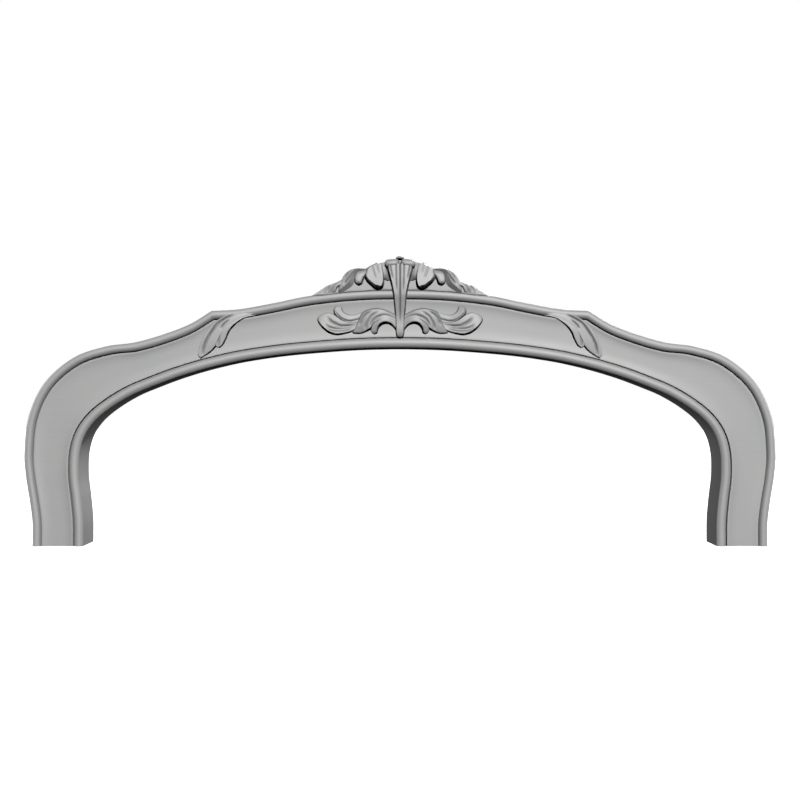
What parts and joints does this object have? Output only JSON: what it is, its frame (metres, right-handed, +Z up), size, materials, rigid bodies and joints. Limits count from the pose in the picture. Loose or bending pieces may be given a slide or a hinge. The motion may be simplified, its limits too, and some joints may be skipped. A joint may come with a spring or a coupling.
{
  "type": "carved chair top rail",
  "caption": "Arched chair top rail with two short leg ends, a beaded and scooped face, a leaf crest, a fluted drop with leaf sprays and a leaf on each shoulder.",
  "frame": {"origin": "midpoint of the two leg ends, on the plane they stand on, at half the overall depth", "axes": "+X along the width to the viewer's right, +Y from the carved face to the flat back, +Z up from the leg ends to the crest"},
  "size_m": [0.5996, 0.0418, 0.2308],
  "materials": {
    "painted_wood": "smooth close-grained wood under a thin satin neutral grey coat"
  },
  "bodies": {
    "root": {"top_rail": "painted_wood"}
  },
  "joints": []
}
